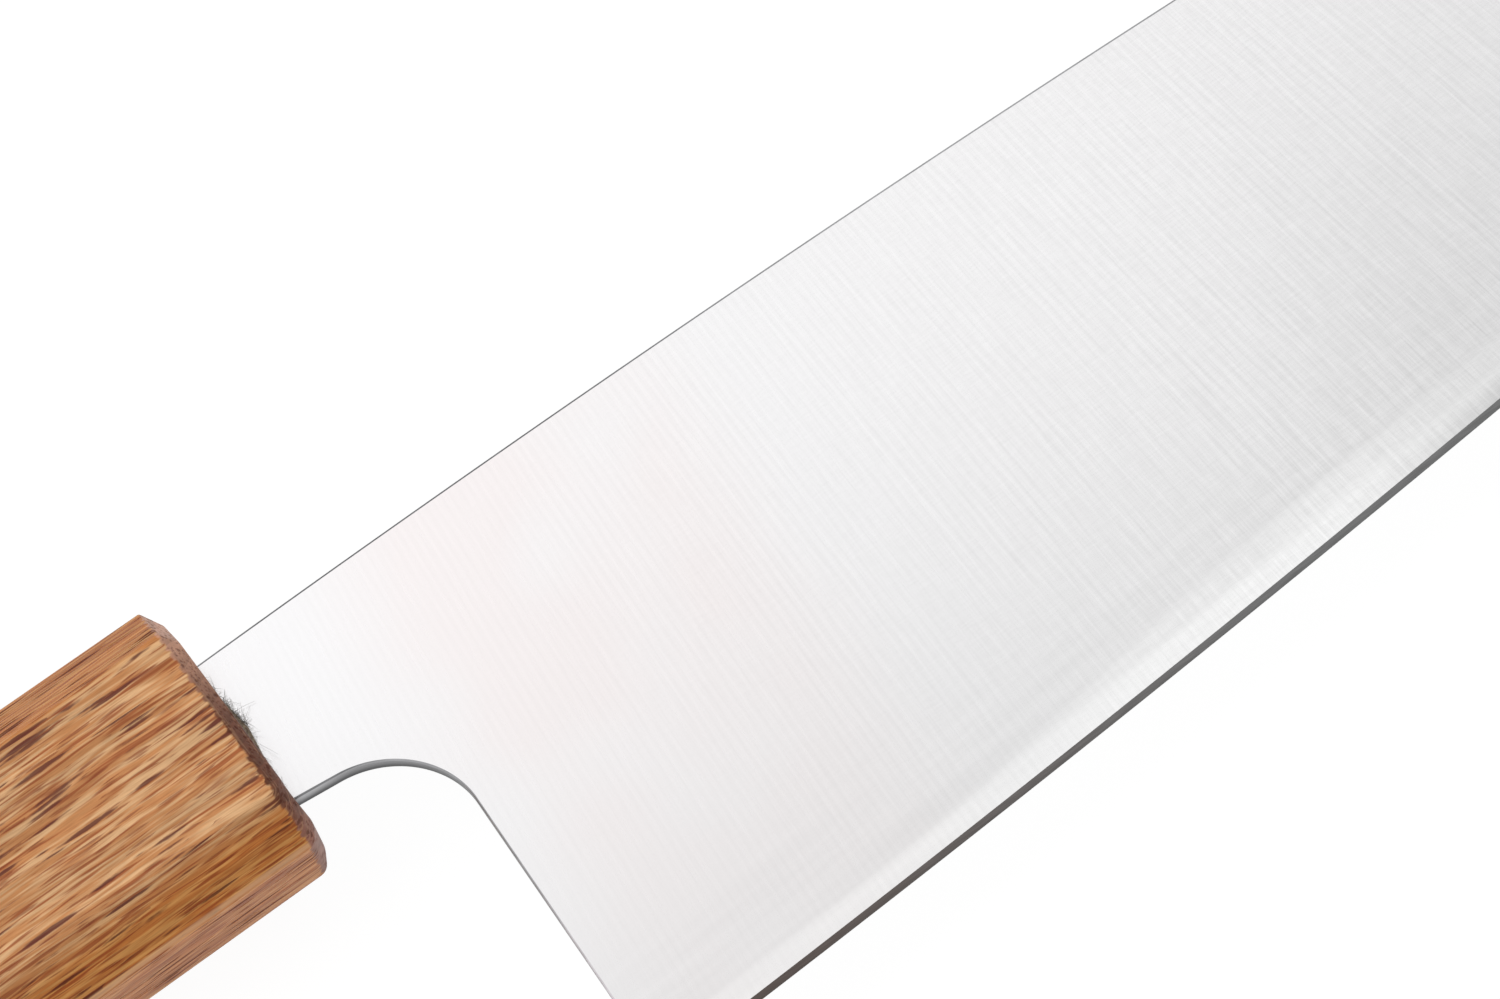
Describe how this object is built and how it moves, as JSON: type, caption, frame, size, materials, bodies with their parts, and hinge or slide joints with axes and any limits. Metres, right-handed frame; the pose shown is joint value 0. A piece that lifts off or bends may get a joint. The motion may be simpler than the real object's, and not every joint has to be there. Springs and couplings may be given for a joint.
{
  "type": "santoku knife",
  "caption": "Santoku kitchen knife with a broad laminated steel blade, rounded choil and sheepsfoot nose, on a tapered octagonal wooden handle, lying on its side.",
  "frame": {"origin": "middle of the bounding box at its bottom, with the knife lying on its left side and the blade's middle plane level", "axes": "+X from the handle's rear end to the blade's tip, +Y from the cutting edge to the spine, +Z out of the blade's right face"},
  "size_m": [0.3042, 0.0514, 0.021],
  "materials": {
    "core_steel": "hard middle layer, polished along the spine and choil, finely ground and darker on the narrow sharpened facet",
    "cladding_steel": "satin, fine grinding lines that slant across the blade",
    "handle_wood": "open-pored ring-porous hardwood, amber brown with long dark pores, thinly oiled",
    "tang_resin": "dull cast resin"
  },
  "bodies": {
    "root": {"blade_core": "core_steel", "right_cladding": "cladding_steel", "left_cladding": "cladding_steel", "handle": "handle_wood", "tang_bed": "tang_resin"}
  },
  "joints": []
}
